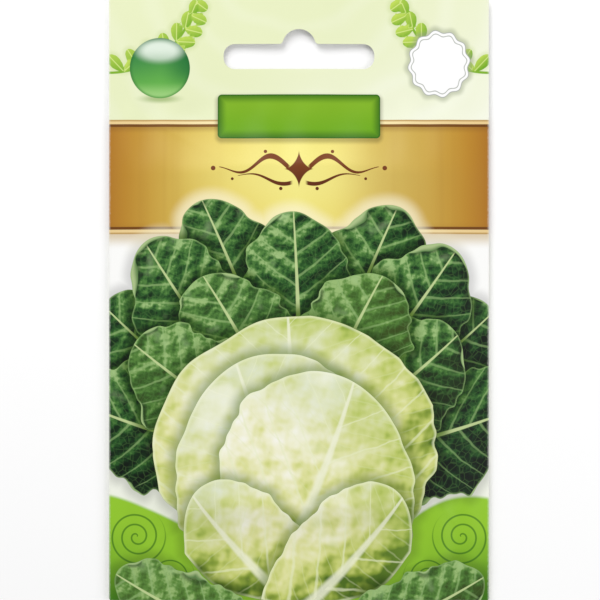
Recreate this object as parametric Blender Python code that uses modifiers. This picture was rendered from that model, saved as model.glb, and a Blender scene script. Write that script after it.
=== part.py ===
"""A paper seed packet lying on its back: a printed sheet folded and glued into a flat packet with a
hanging slot in its header, a thin foil-lined sachet sealed inside it, and the seeds in the sachet.

The packet's front faces +Z and its header points along +Y. The origin is on the surface that it lies
on, under the middle of the packet."""

import math
import random

import bmesh
import bpy
from mathutils import Matrix

MM = 0.001

# The sheet of coated paper, folded
WIDTH = 82.0 * MM
HEIGHT = 130.0 * MM
PAPER = 0.15 * MM
GLUE = 0.08 * MM
LAYER = PAPER + GLUE

# The back seam, where the right flap lies under the left one as the packet rests
SEAM_LEFT = -6.0 * MM
SEAM_RIGHT = 4.0 * MM
SEAM_MARGIN = 1.0 * MM
SEAM_RAMP = 6.0 * MM

# The bottom flap, folded up behind
FLAP_LENGTH = 12.0 * MM
FLAP_TAPER = 0.04
FLAP_START = 0.5 * MM

# How full the packet is: glued flat at the header and along the bottom, and swelling between them
HEADER_SEAL = 42.0 * MM
BOTTOM_SEAL = -57.0 * MM
SWELL_RUN = 15.0 * MM
SWELL_POWER = 3.6
SWELL_GAIN = 1.06
BELLY = 3.3 * MM
EDGE_LIFT = 1.0 * MM

# The hanging slot: a long slot with a half-round notch over its middle
SLOT_WIDTH = 32.5 * MM
SLOT_HEIGHT = 5.4 * MM
SLOT_FLOOR = HEIGHT / 2 - 15.2 * MM
SLOT_CORNER = 2.4 * MM
NOTCH_RADIUS = 3.6 * MM
NOTCH_DROP = 0.4 * MM
NOTCH_FILLET = 0.8 * MM
ARC_STEPS = 6

# The sachet of foil-lined film, folded at its lower end and crimped on the other three sides
FILM = 0.10 * MM
FILM_GAP = 0.08 * MM
SACHET_WIDTH = 58.0 * MM
SACHET_BOTTOM = -49.0 * MM
SACHET_TOP = 31.0 * MM
CRIMP = 3.5 * MM
SACHET_RUN = 9.0 * MM
SACHET_BELLY = 2.3 * MM
CLEARANCE = 0.25 * MM

# The seeds, one layer deep where the lying packet has let them settle
SEED_COUNT = 54
SEED_SMALL = 1.62 * MM
SEED_LARGE = 1.80 * MM
SEED_SPACING = 1.46 * MM
SEED_JITTER = 0.02 * MM
SEED_GAP = 0.18 * MM
SEED_MIDDLE = (3.0 * MM, -24.0 * MM)
SEED_SIDES = 8
SEED_RINGS = 6
RANDOM_SEED = 11


def smooth(low, high, value):
    """0 at low, 1 at high, with a smooth start and end."""
    share = min(1.0, max(0.0, (value - low) / (high - low)))
    return share * share * (3 - 2 * share)


def stations(*spans):
    """Places along a line, from (start, end, steps) spans that follow each other."""
    places = [spans[0][0]]
    for start, end, steps in spans:
        places += [start + (end - start) * i / steps for i in range(1, steps + 1)]
    return places


def fullness(x, y):
    """How far the packet is swollen at this place: 0 where it is glued flat, 1 over its middle."""
    across = 1 - abs(2 * x / WIDTH) ** SWELL_POWER
    along = smooth(BOTTOM_SEAL, BOTTOM_SEAL + SWELL_RUN, y)
    along *= 1 - smooth(HEADER_SEAL - SWELL_RUN, HEADER_SEAL, y)
    return min(1.0, max(0.0, SWELL_GAIN * across * along))


def overlap(x):
    """1 where both back flaps lie on each other, 0 away from the seam."""
    rise = smooth(SEAM_LEFT - SEAM_MARGIN - SEAM_RAMP, SEAM_LEFT - SEAM_MARGIN, x)
    return rise * (1 - smooth(SEAM_RIGHT + SEAM_MARGIN, SEAM_RIGHT + SEAM_MARGIN + SEAM_RAMP, x))


def back_height(x, y):
    """Middle of the outer back flap: flat on the surface under the belly, lifted at the edges."""
    return PAPER / 2 + EDGE_LIFT * (1 - fullness(x, y)) ** 2


def inner_back_height(x, y):
    """Middle of the inner back flap, which climbs over the outer one at the seam."""
    return back_height(x, y) + LAYER * overlap(x)


def front_height(x, y):
    """Middle of the front panel."""
    full = fullness(x, y)
    return back_height(x, y) + LAYER * (1 + overlap(x)) * (1 - full) + BELLY * full


def material(name, colour, roughness, metallic=0.0):
    made = bpy.data.materials.new(name)
    made.use_nodes = True
    shader = made.node_tree.nodes["Principled BSDF"]
    shader.inputs["Base Color"].default_value = (*colour, 1)
    shader.inputs["Roughness"].default_value = roughness
    shader.inputs["Metallic"].default_value = metallic
    return made


def add_object(name, mesh, collection, finish=None):
    made = bpy.data.objects.new(name, mesh)
    collection.objects.link(made)
    if finish:
        mesh.materials.append(finish)
    return made


def add_collection(name):
    made = bpy.data.collections.new(name)
    bpy.context.scene.collection.children.link(made)
    return made


def mapped_grid(columns, rows, place):
    """A grid of quads whose vertex in column i and row j stands at place(columns[i], rows[j])."""
    grid = bmesh.new()
    bmesh.ops.create_grid(grid, x_segments=len(columns) - 1, y_segments=len(rows) - 1, size=0.5)
    for vertex in grid.verts:
        column = columns[round((vertex.co.x + 0.5) * (len(columns) - 1))]
        row = rows[round((vertex.co.y + 0.5) * (len(rows) - 1))]
        vertex.co = place(column, row)
    return grid


def wrap_columns():
    """The packet's width unrolled, from the inner back flap's edge round to the outer one's.

    Each column is a panel's name and a place along x, or a fold's name and an angle round it."""
    edge = WIDTH / 2 - PAPER / 2 - LAYER / 2
    inner_places = stations((SEAM_RIGHT, -14 * MM, 4), (-14 * MM, -edge, 5))
    front_places = stations((-edge, -26 * MM, 4), (-26 * MM, 26 * MM, 9), (26 * MM, edge, 4))
    outer_places = stations((edge, 26 * MM, 3), (26 * MM, SEAM_LEFT, 4))
    columns = [("inner", x) for x in inner_places]
    columns += [("left fold", math.radians(angle)) for angle in (-45, 0, 45)]
    columns += [("front", x) for x in front_places]
    columns += [("right fold", math.radians(angle)) for angle in (45, 0, -45)]
    columns += [("outer", x) for x in outer_places]
    return columns


def wrap_place(column, y):
    """Where a point of the folded sheet stands."""
    panel, at = column
    if panel == "front":
        return at, y, front_height(at, y)
    if panel == "inner":
        return at, y, inner_back_height(at, y)
    if panel == "outer":
        return at, y, back_height(at, y)
    radius = LAYER / 2
    side = 1 if panel == "right fold" else -1
    centre = side * (WIDTH / 2 - PAPER / 2 - radius)
    middle = (front_height(centre, y) + back_height(centre, y)) / 2
    return centre + side * radius * math.cos(at), y, middle + radius * math.sin(at)


def fold_bottom_flap(sheet, first_row):
    """Extrudes the front panel's lower edge round the bottom and up behind the back panels."""

    def on_front(vertex):
        return vertex.co.z > front_height(vertex.co.x, first_row) - 1e-7

    lowest = [edge for edge in sheet.edges if all(abs(v.co.y - first_row) < 1e-7 for v in edge.verts)]
    edges = [edge for edge in lowest if on_front(edge.verts[0]) and on_front(edge.verts[1])]
    rows = [("turn", math.radians(a)) for a in (0, 45, 90, 135, 180)]
    rows += [("flap", share) for share in (0.35, 0.7, 1.0)]
    for kind, at in rows:
        made = bmesh.ops.extrude_edge_only(sheet, edges=edges)["geom"]
        edges = [item for item in made if isinstance(item, bmesh.types.BMEdge)]
        for vertex in {v for edge in edges for v in edge.verts}:
            if kind == "flap":
                vertex.co.x *= 1 - FLAP_TAPER * at
            x = vertex.co.x
            radius = LAYER * (1 + overlap(x) / 2)
            centre = -HEIGHT / 2 + PAPER / 2 + radius
            if kind == "turn":
                top = front_height(x, first_row)
                vertex.co.y = centre - radius * math.sin(at)
                vertex.co.z = top - radius + radius * math.cos(at)
            else:
                vertex.co.y = centre + FLAP_LENGTH * at
                vertex.co.z = back_height(x, vertex.co.y) - LAYER


def slot_outline():
    """The hanging slot's outline, counterclockwise, with its corners and notch as arcs."""
    low, high = SLOT_FLOOR, SLOT_FLOOR + SLOT_HEIGHT
    reach = SLOT_WIDTH / 2 - SLOT_CORNER
    fillet_x = math.sqrt((NOTCH_RADIUS + NOTCH_FILLET) ** 2 - (NOTCH_FILLET + NOTCH_DROP) ** 2)
    lean = math.atan2(NOTCH_FILLET + NOTCH_DROP, fillet_x)

    def arc(x, y, radius, start, end):
        turn = [start + (end - start) * i / ARC_STEPS for i in range(ARC_STEPS + 1)]
        return [(x + radius * math.cos(a), y + radius * math.sin(a)) for a in turn]

    quarter = math.pi / 2
    outline = arc(reach, low + SLOT_CORNER, SLOT_CORNER, -quarter, 0)
    outline += arc(reach, high - SLOT_CORNER, SLOT_CORNER, 0, quarter)
    outline += arc(fillet_x, high + NOTCH_FILLET, NOTCH_FILLET, -quarter, lean - math.pi)
    outline += arc(0, high - NOTCH_DROP, NOTCH_RADIUS, lean, math.pi - lean)[1:-1]
    outline += arc(-fillet_x, high + NOTCH_FILLET, NOTCH_FILLET, -lean, -quarter)
    outline += arc(-reach, high - SLOT_CORNER, SLOT_CORNER, quarter, 2 * quarter)
    outline += arc(-reach, low + SLOT_CORNER, SLOT_CORNER, 2 * quarter, 3 * quarter)
    return outline


def slot_cutter(collection):
    """The punch that goes through every layer of the header."""
    outline = slot_outline()
    curve = bpy.data.curves.new("slot_outline", "CURVE")
    curve.dimensions = "2D"
    curve.fill_mode = "BOTH"
    curve.extrude = 4 * MM
    spline = curve.splines.new("POLY")
    spline.points.add(len(outline) - 1)
    for point, (x, y) in zip(spline.points, outline):
        point.co = (x, y, 0, 1)
    spline.use_cyclic_u = True
    drawn = bpy.data.objects.new("slot_outline", curve)
    collection.objects.link(drawn)
    graph = bpy.context.evaluated_depsgraph_get()
    mesh = bpy.data.meshes.new_from_object(drawn.evaluated_get(graph))
    welded = bmesh.new()
    welded.from_mesh(mesh)
    bmesh.ops.remove_doubles(welded, verts=welded.verts, dist=1e-6)
    bmesh.ops.recalc_face_normals(welded, faces=welded.faces)
    welded.to_mesh(mesh)
    welded.free()
    cutter = add_object("slot_punch", mesh, collection)
    cutter.matrix_world = drawn.matrix_world
    bpy.data.objects.remove(drawn)
    cutter.hide_render = True
    cutter.display_type = "WIRE"
    return cutter


def thicken(obj, thickness):
    """Gives an open sheet its thickness, half on each side."""
    solid = obj.modifiers.new("thickness", "SOLIDIFY")
    solid.thickness = thickness
    solid.offset = 0
    solid.use_even_offset = True


def build_packet(collection, cutters):
    """The printed paper, folded from one sheet: front, both back flaps and the bottom flap."""
    first_row = -HEIGHT / 2 + FLAP_START
    rows = stations(
        (first_row, BOTTOM_SEAL, 2),
        (BOTTOM_SEAL, BOTTOM_SEAL + SWELL_RUN, 6),
        (BOTTOM_SEAL + SWELL_RUN, HEADER_SEAL - SWELL_RUN, 7),
        (HEADER_SEAL - SWELL_RUN, HEADER_SEAL, 6),
        (HEADER_SEAL, HEIGHT / 2, 3),
    )
    sheet = mapped_grid(wrap_columns(), rows, wrap_place)
    fold_bottom_flap(sheet, first_row)
    bmesh.ops.recalc_face_normals(sheet, faces=sheet.faces)
    mesh = bpy.data.meshes.new("packet_paper")
    sheet.to_mesh(mesh)
    sheet.free()
    mesh.shade_smooth()
    mesh.set_sharp_from_angle(angle=math.radians(40))
    paper = material("coated_paper", (0.78, 0.82, 0.60), 0.42)
    packet = add_object("packet_paper", mesh, collection, paper)
    thicken(packet, PAPER)
    punch = packet.modifiers.new("hanging_slot", "BOOLEAN")
    punch.operation = "DIFFERENCE"
    punch.solver = "EXACT"
    punch.object = slot_cutter(cutters)


def sachet_floor(x, y):
    """Middle of the sachet's back film, which lies on the packet's inner back flap."""
    return inner_back_height(x, y) + PAPER / 2 + CLEARANCE + FILM / 2


def sachet_fullness(x, y):
    """0 along the crimped edges, 1 over the sachet's middle."""
    side = smooth(0, SACHET_RUN, SACHET_WIDTH / 2 - CRIMP - abs(x))
    ends = smooth(0, SACHET_RUN, min(y - SACHET_BOTTOM, SACHET_TOP - CRIMP - y))
    return side * ends


def sachet_place(x, row):
    """Where a point of the folded film stands. row is (layer, y or fold angle)."""
    layer, at = row
    thin = FILM + FILM_GAP
    if layer == "fold":
        radius = thin / 2
        middle = sachet_floor(x, SACHET_BOTTOM) + radius
        return x, SACHET_BOTTOM - radius * math.cos(at), middle + radius * math.sin(at)
    height = sachet_floor(x, at)
    if layer == "front":
        full = sachet_fullness(x, at)
        height += thin * (1 - full) + SACHET_BELLY * full
    return x, at, height


def build_sachet(collection):
    """The inner sachet: one film folded at the bottom, its front and back crimped together."""
    half = SACHET_WIDTH / 2
    flat = half - CRIMP
    columns = stations(
        (-half, -flat, 1),
        (-flat, SACHET_RUN - flat, 4),
        (SACHET_RUN - flat, flat - SACHET_RUN, 6),
        (flat - SACHET_RUN, flat, 4),
        (flat, half, 1),
    )
    full_end = SACHET_TOP - CRIMP - SACHET_RUN
    lengths = stations(
        (SACHET_BOTTOM, SACHET_BOTTOM + SACHET_RUN, 4),
        (SACHET_BOTTOM + SACHET_RUN, full_end, 5),
        (full_end, SACHET_TOP - CRIMP, 4),
        (SACHET_TOP - CRIMP, SACHET_TOP, 1),
    )
    rows = [("back", y) for y in reversed(lengths)]
    rows += [("fold", math.radians(a)) for a in (-45, 0, 45)]
    rows += [("front", y) for y in lengths]
    sheet = mapped_grid(columns, rows, sachet_place)
    bmesh.ops.recalc_face_normals(sheet, faces=sheet.faces)
    mesh = bpy.data.meshes.new("inner_sachet")
    sheet.to_mesh(mesh)
    sheet.free()
    mesh.shade_smooth()
    foil = material("foil_film", (0.72, 0.73, 0.74), 0.35, 0.6)
    thicken(add_object("inner_sachet", mesh, collection, foil), FILM)


def seed_sites(draw):
    """Sites of a triangular lattice, grown outwards from the middle one, so that all of them touch."""
    steps = ((1, 0), (0, 1), (-1, 1), (-1, 0), (0, -1), (1, -1))
    taken = [(0, 0)]
    while len(taken) < SEED_COUNT:
        edge = sorted({(a + i, b + j) for a, b in taken for i, j in steps} - set(taken))
        reach = [math.hypot(a + b / 2, b * math.sqrt(0.75)) + draw.uniform(0, 2.2) for a, b in edge]
        taken.append(edge[reach.index(min(reach))])
    return taken


def build_seeds(collection, cutters):
    """The seeds, joined where they touch."""
    draw = random.Random(RANDOM_SEED)
    heap = bpy.data.collections.new("loose_seeds")
    cutters.children.link(heap)
    copies = []
    for a, b in seed_sites(draw):
        x = SEED_MIDDLE[0] + SEED_SPACING * (a + b / 2) + draw.uniform(-SEED_JITTER, SEED_JITTER)
        y = SEED_MIDDLE[1] + SEED_SPACING * b * math.sqrt(0.75) + draw.uniform(-SEED_JITTER, SEED_JITTER)
        radius = draw.uniform(SEED_SMALL, SEED_LARGE) / 2
        z = sachet_floor(x, y) + FILM / 2 + SEED_GAP + radius
        turned = Matrix.Translation((x, y, z)) @ Matrix.Rotation(draw.uniform(0, math.tau), 4, "Z")
        ball = bmesh.new()
        bmesh.ops.create_uvsphere(
            ball, u_segments=SEED_SIDES, v_segments=SEED_RINGS, radius=radius, matrix=turned
        )
        mesh = bpy.data.meshes.new("seed")
        ball.to_mesh(mesh)
        ball.free()
        copies.append(add_object("seed", mesh, heap))
    first = copies.pop(0)
    heap.objects.unlink(first)
    collection.objects.link(first)
    first.name = "seeds"
    union = first.modifiers.new("joined", "BOOLEAN")
    union.operation = "UNION"
    union.operand_type = "COLLECTION"
    union.collection = heap
    union.solver = "MANIFOLD"
    graph = bpy.context.evaluated_depsgraph_get()
    joined = bpy.data.meshes.new_from_object(first.evaluated_get(graph))
    first.modifiers.clear()
    first.data = joined
    joined.name = "seeds"
    joined.shade_smooth()
    joined.set_sharp_from_angle(angle=math.radians(50))
    joined.materials.clear()
    joined.materials.append(material("seed_coat", (0.10, 0.055, 0.035), 0.6))
    for copy in copies:
        bpy.data.objects.remove(copy)
    bpy.data.collections.remove(heap)


def main():
    for obj in list(bpy.data.objects):
        bpy.data.objects.remove(obj)
    parts = add_collection("seed_packet")
    cutters = add_collection("cutters")
    build_packet(parts, cutters)
    build_sachet(parts)
    build_seeds(parts, cutters)


main()
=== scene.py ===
"""Looks for a paper seed packet lying on its back: printed and folded paper, foil sachet, seeds.

Lengths are in millimetres until a point is placed, and the packet's own axes are used throughout:
x to the right, y towards the header with the hanging slot, z out of the printed front."""

import math
from functools import partialmethod

import bmesh
import bpy
import numpy as np
from mathutils import Matrix, Vector

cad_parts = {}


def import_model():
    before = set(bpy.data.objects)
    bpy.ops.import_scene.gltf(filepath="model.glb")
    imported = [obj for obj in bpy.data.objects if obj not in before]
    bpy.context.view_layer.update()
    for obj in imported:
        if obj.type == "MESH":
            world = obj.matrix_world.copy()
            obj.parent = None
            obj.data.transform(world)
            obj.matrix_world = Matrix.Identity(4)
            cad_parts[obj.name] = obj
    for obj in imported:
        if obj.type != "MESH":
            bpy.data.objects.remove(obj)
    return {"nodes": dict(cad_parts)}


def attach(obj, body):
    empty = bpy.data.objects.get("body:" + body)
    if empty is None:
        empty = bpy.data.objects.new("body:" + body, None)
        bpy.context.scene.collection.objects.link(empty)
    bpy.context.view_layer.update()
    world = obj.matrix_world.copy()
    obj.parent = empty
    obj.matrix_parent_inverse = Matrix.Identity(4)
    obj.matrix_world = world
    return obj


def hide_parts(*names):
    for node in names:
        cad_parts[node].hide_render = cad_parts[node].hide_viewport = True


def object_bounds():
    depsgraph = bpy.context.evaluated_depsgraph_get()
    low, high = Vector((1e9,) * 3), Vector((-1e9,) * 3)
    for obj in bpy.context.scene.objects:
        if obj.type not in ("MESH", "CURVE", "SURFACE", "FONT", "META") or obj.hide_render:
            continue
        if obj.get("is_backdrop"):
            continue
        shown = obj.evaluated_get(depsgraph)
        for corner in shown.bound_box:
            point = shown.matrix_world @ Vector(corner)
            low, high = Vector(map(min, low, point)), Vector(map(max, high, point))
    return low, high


MM = 0.001

# The packet's sheet and how it is folded, glued and filled
WIDTH = 82.0
HEIGHT = 130.0
PAPER = 0.15
LAYER = 0.23
SEAM_LEFT = -6.0
SEAM_RIGHT = 4.0
SEAM_MARGIN = 1.0
SEAM_RAMP = 6.0
FLAP_LENGTH = 12.0
FLAP_TAPER = 0.024
FIRST_ROW = -64.5
HEADER_SEAL = 42.0
BOTTOM_SEAL = -57.0
SWELL_RUN = 15.0
SWELL_POWER = 3.6
SWELL_GAIN = 1.06
BELLY = 3.3
EDGE_LIFT = 1.0
FOLD_CENTRE = WIDTH / 2 - PAPER / 2 - LAYER / 2

# The front's relief: puckers at both seals, a slow cockle, and the sachet's outline pressed through
HEADER_PUCKER = 0.13
FOOT_PUCKER = 0.16
COCKLE = 0.10
SACHET_MARK = 0.10
SACHET_REACH = 29.0
SACHET_MIDDLE = -9.0
SACHET_RISE = 40.0

# Soft creases: each one's middle, angle, run and height
CREASES = (
    (-31, -52, 38, 11, 0.16),
    (33, -47, 128, 9, 0.13),
    (-27, 36, 152, 9, 0.10),
    (24, 4, 100, 14, 0.05),
)

# The hanging slot
SLOT_REACH = 13.85
SLOT_CORNER = 2.4
SLOT_LOW = 49.8
SLOT_HIGH = 55.2
NOTCH_RADIUS = 3.6
NOTCH_DROP = 0.4
NOTCH_FILLET = 0.8

# How finely the sheet is divided, and the front's faces once more
SHEET_ROWS = 65
FRONT_COLUMNS = 41
FRONT_CUTS = 3

# The print: the gold band, the plate under the slot, the disc, the rosette and the header's twigs
BAND_TOP = 37.45
BAND_BOTTOM = 15.6
PLATE_Y = 39.55
PLATE_REACH = 17.5
PLATE_RISE = 4.75
PLATE_CORNER = 0.9
PLATE_SHADOW_DROP = 0.55
DISC_X = -30.0
DISC_Y = 50.0
DISC_RADIUS = 6.5
ROSETTE_X = 30.2
ROSETTE_Y = 50.9
ROSETTE_RADIUS = 6.55
ROSETTE_SCALLOPS = 12
TWIG_REACH = 18.5
TWIG_HEIGHT = 66.5
TWIG_DROP = 17.5
PRINT_DEPTH = 0.93

# The picture: the round head of pale leaves, its layers, and the leaves' outlines
HEAD_X = 0.0
HEAD_Y = -35.0
HEAD_RADIUS = 31.5
HEAD_LAYERS = ("heart", "left", "right", "low_left", "low_right")
OUTLINE_POINTS = 120
LEAF_MARGIN = 6.0
FAR_OUTSIDE = -9.0

# The back's print: the calendar of boxes, the ruled lines under it and the row of signs
BOX_WIDTH = 5.2
BOX_HEIGHT = 4.4
CALENDAR_REACH = 31.2
CALENDAR_LOW = -5.5
RULED_PITCH = 5.5
RULED_LOW = -39.0
RULED_HEIGHT = 28.0
SIGN_Y = -46.0
SIGN_PITCH = 20.0
SIGN_RADIUS = 4.85

# The packet's finishes by number. Bare paper has two: INSIDE lines the front, the next the back
FRONT, BACK, INSIDE = 0, 1, 2

# The map that the packet's faces are laid out on, and its size in pixels
BAKE_MAP = "OFBake"
BAKE_SIZE = 1024


def smooth(low, high, value):
    """0 at low, 1 at high, with a smooth start and end."""
    share = np.clip((value - low) / (high - low), 0.0, 1.0)
    return share * share * (3 - 2 * share)


def fullness(x, y):
    """How far the packet is swollen: 0 where it is glued flat, 1 over its middle."""
    across = 1 - np.abs(2 * x / WIDTH) ** SWELL_POWER
    along = smooth(BOTTOM_SEAL, BOTTOM_SEAL + SWELL_RUN, y)
    along = along * (1 - smooth(HEADER_SEAL - SWELL_RUN, HEADER_SEAL, y))
    return np.clip(SWELL_GAIN * across * along, 0.0, 1.0)


def overlap(x):
    """1 where both back flaps lie on each other."""
    rise = smooth(SEAM_LEFT - SEAM_MARGIN - SEAM_RAMP, SEAM_LEFT - SEAM_MARGIN, x)
    return rise * (1 - smooth(SEAM_RIGHT + SEAM_MARGIN, SEAM_RIGHT + SEAM_MARGIN + SEAM_RAMP, x))


def back_height(x, y):
    """Middle of the outer back flap."""
    return PAPER / 2 + EDGE_LIFT * (1 - fullness(x, y)) ** 2


def inner_back_height(x, y):
    """Middle of the inner back flap."""
    return back_height(x, y) + LAYER * overlap(x)


def front_height(x, y):
    """Middle of the front panel."""
    full = fullness(x, y)
    return back_height(x, y) + LAYER * (1 + overlap(x)) * (1 - full) + BELLY * full


def relief(x, y):
    """What handling and filling leave in the front: puckers, soft creases, the sachet's outline."""
    inside = smooth(0, 5, WIDTH / 2 - 0.4 - np.abs(x))
    above = smooth(24, 33, y) * (1 - smooth(39, 44, y))
    below = smooth(-62, -55, y) * (1 - smooth(-49, -40, y))
    pucker = HEADER_PUCKER * above * np.sin(x * 0.62 + 0.8 * np.sin(x * 0.21 + 1.0))
    pucker = pucker + FOOT_PUCKER * below * np.sin(x * 0.71 + 1.1 * np.sin(x * 0.17))
    cockle = COCKLE * np.sin(x * 0.13 + y * 0.09 + 0.6) * np.sin(y * 0.11 - x * 0.05)
    sachet = smooth(0, 4, SACHET_REACH - np.abs(x)) * smooth(0, 4, SACHET_RISE - np.abs(y - SACHET_MIDDLE))
    crease = np.zeros_like(x)
    for middle_x, middle_y, angle, run, height in CREASES:
        turn = math.radians(angle)
        along = (x - middle_x) * math.cos(turn) + (y - middle_y) * math.sin(turn)
        across = (y - middle_y) * math.cos(turn) - (x - middle_x) * math.sin(turn)
        ridge = np.exp(-np.abs(across) / 0.7) - 0.5 * np.exp(-np.abs(across) / 2.2)
        crease = crease + height * ridge * np.exp(-((along / run) ** 2))
    return inside * (pucker + cockle + crease + SACHET_MARK * sachet)


def stations(*spans):
    """Places along a line, from (start, end, steps) spans that follow each other."""
    places = [spans[0][0]]
    for start, end, steps in spans:
        places += [start + (end - start) * i / steps for i in range(1, steps + 1)]
    return places


def add_piece(name, mesh):
    made = bpy.data.objects.new(name, mesh)
    bpy.context.scene.collection.objects.link(made)
    return made


def wrap_columns():
    """The packet's width unrolled: each column is a panel's name and a place along x, or an angle."""
    columns = [("inner", x) for x in stations((SEAM_RIGHT, -14, 6), (-14, -FOLD_CENTRE, 9))]
    columns += [("left fold", math.radians(angle)) for angle in (-60, -30, 0, 30, 60)]
    columns += [("front", x) for x in stations((-FOLD_CENTRE, FOLD_CENTRE, FRONT_COLUMNS))]
    columns += [("right fold", math.radians(angle)) for angle in (60, 30, 0, -30, -60)]
    columns += [("outer", x) for x in stations((FOLD_CENTRE, 26, 6), (26, SEAM_LEFT, 11))]
    return columns


def wrap_place(column, y):
    """Where a point of the folded sheet stands."""
    panel, at = column
    heights = {"front": front_height, "inner": inner_back_height, "outer": back_height}
    if panel in heights:
        return at, y, heights[panel](at, y)
    side = 1 if panel == "right fold" else -1
    centre = side * FOLD_CENTRE
    middle = (front_height(centre, y) + back_height(centre, y)) / 2
    return centre + side * LAYER / 2 * math.cos(at), y, middle + LAYER / 2 * math.sin(at)


def fold_bottom_flap(sheet):
    """Extrudes the front panel's lower edge round the bottom and up behind the back panels."""

    def on_front(vertex):
        x, y, z = vertex.co
        return abs(y - FIRST_ROW) < 1e-4 and z > front_height(x, y) - 1e-4

    edges = [edge for edge in sheet.edges if on_front(edge.verts[0]) and on_front(edge.verts[1])]
    rows = [("turn", math.radians(angle)) for angle in (0, 30, 60, 90, 120, 150, 180)]
    rows += [("flap", share) for share in (0.17, 0.34, 0.51, 0.68, 0.85, 1.0)]
    for kind, at in rows:
        made = bmesh.ops.extrude_edge_only(sheet, edges=edges)["geom"]
        edges = [item for item in made if isinstance(item, bmesh.types.BMEdge)]
        for vertex in {v for edge in edges for v in edge.verts}:
            if kind == "flap":
                vertex.co.x *= 1 - FLAP_TAPER * at
            x = vertex.co.x
            radius = LAYER * (1 + overlap(x) / 2)
            centre = -HEIGHT / 2 + PAPER / 2 + radius
            if kind == "turn":
                vertex.co.y = centre - radius * math.sin(at)
                vertex.co.z = front_height(x, FIRST_ROW) - radius + radius * math.cos(at)
            else:
                vertex.co.y = centre + FLAP_LENGTH * at
                vertex.co.z = back_height(x, vertex.co.y) - LAYER


def fold_sheet():
    """The open sheet, folded round the sides and the bottom. Its faces know front from back."""
    columns = wrap_columns()
    rows = stations((FIRST_ROW, HEIGHT / 2, SHEET_ROWS))
    sheet = bmesh.new()
    bmesh.ops.create_grid(sheet, x_segments=len(columns) - 1, y_segments=len(rows) - 1, size=0.5)
    for vertex in sheet.verts:
        column = columns[round((vertex.co.x + 0.5) * (len(columns) - 1))]
        row = rows[round((vertex.co.y + 0.5) * (len(rows) - 1))]
        vertex.co = wrap_place(column, row)
    fold_bottom_flap(sheet)
    bmesh.ops.recalc_face_normals(sheet, faces=sheet.faces)
    for face in sheet.faces:
        x, y, z = face.calc_center_median()
        fore = y < FIRST_ROW or z > front_height(x, y) - LAYER / 2 - 0.005
        face.material_index = FRONT if fore else BACK
    bmesh.ops.transform(sheet, matrix=Matrix.Scale(MM, 4), verts=sheet.verts)
    mesh = bpy.data.meshes.new("folded_sheet")
    sheet.to_mesh(mesh)
    sheet.free()
    return mesh


def slot_outline():
    """The hanging slot's outline, counterclockwise."""
    fillet_x = math.sqrt((NOTCH_RADIUS + NOTCH_FILLET) ** 2 - (NOTCH_FILLET + NOTCH_DROP) ** 2)
    lean = math.atan2(NOTCH_FILLET + NOTCH_DROP, fillet_x)

    def arc(x, y, radius, start, end, steps=10):
        turn = [start + (end - start) * i / steps for i in range(steps + 1)]
        return [(x + radius * math.cos(a), y + radius * math.sin(a)) for a in turn]

    quarter = math.pi / 2
    outline = arc(SLOT_REACH, SLOT_LOW + SLOT_CORNER, SLOT_CORNER, -quarter, 0)
    outline += arc(SLOT_REACH, SLOT_HIGH - SLOT_CORNER, SLOT_CORNER, 0, quarter)
    outline += arc(fillet_x, SLOT_HIGH + NOTCH_FILLET, NOTCH_FILLET, -quarter, lean - math.pi)
    outline += arc(0, SLOT_HIGH - NOTCH_DROP, NOTCH_RADIUS, lean, math.pi - lean, 22)[1:-1]
    outline += arc(-fillet_x, SLOT_HIGH + NOTCH_FILLET, NOTCH_FILLET, -lean, -quarter)
    outline += arc(-SLOT_REACH, SLOT_HIGH - SLOT_CORNER, SLOT_CORNER, quarter, 2 * quarter)
    outline += arc(-SLOT_REACH, SLOT_LOW + SLOT_CORNER, SLOT_CORNER, 2 * quarter, 3 * quarter)
    return outline


def slot_punch():
    """The punch for the slot: its outline filled and pulled up through every layer."""
    shape = bmesh.new()
    rim = [shape.verts.new((x * MM, y * MM, -2 * MM)) for x, y in slot_outline()]
    floor = bmesh.ops.contextual_create(shape, geom=rim)["faces"]
    raised = bmesh.ops.extrude_face_region(shape, geom=floor)["geom"]
    top = [item for item in raised if isinstance(item, bmesh.types.BMVert)]
    bmesh.ops.translate(shape, verts=top, vec=(0, 0, 6 * MM))
    bmesh.ops.recalc_face_normals(shape, faces=shape.faces)
    for face in shape.faces:
        face.material_index = INSIDE
    mesh = bpy.data.meshes.new("slot_punch")
    shape.to_mesh(mesh)
    shape.free()
    # As many slots as the packet has, so that the cut edges keep the number of the bare paper
    for _ in range(4):
        mesh.materials.append(None)
    return add_piece("slot_punch", mesh)


def thicken_and_punch(mesh):
    """The sheet with its thickness, and with the slot through every layer of the header."""
    draft = add_piece("folded_sheet", mesh)
    solid = draft.modifiers.new("thickness", "SOLIDIFY")
    solid.thickness = PAPER * MM
    solid.offset = 0
    solid.use_even_offset = True
    solid.material_offset = INSIDE
    solid.material_offset_rim = INSIDE
    punch = slot_punch()
    cut = draft.modifiers.new("slot", "BOOLEAN")
    cut.operation = "DIFFERENCE"
    cut.solver = "EXACT"
    cut.object = punch
    graph = bpy.context.evaluated_depsgraph_get()
    whole = bpy.data.meshes.new_from_object(draft.evaluated_get(graph))
    bpy.data.objects.remove(draft)
    bpy.data.objects.remove(punch)
    return whole


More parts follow.
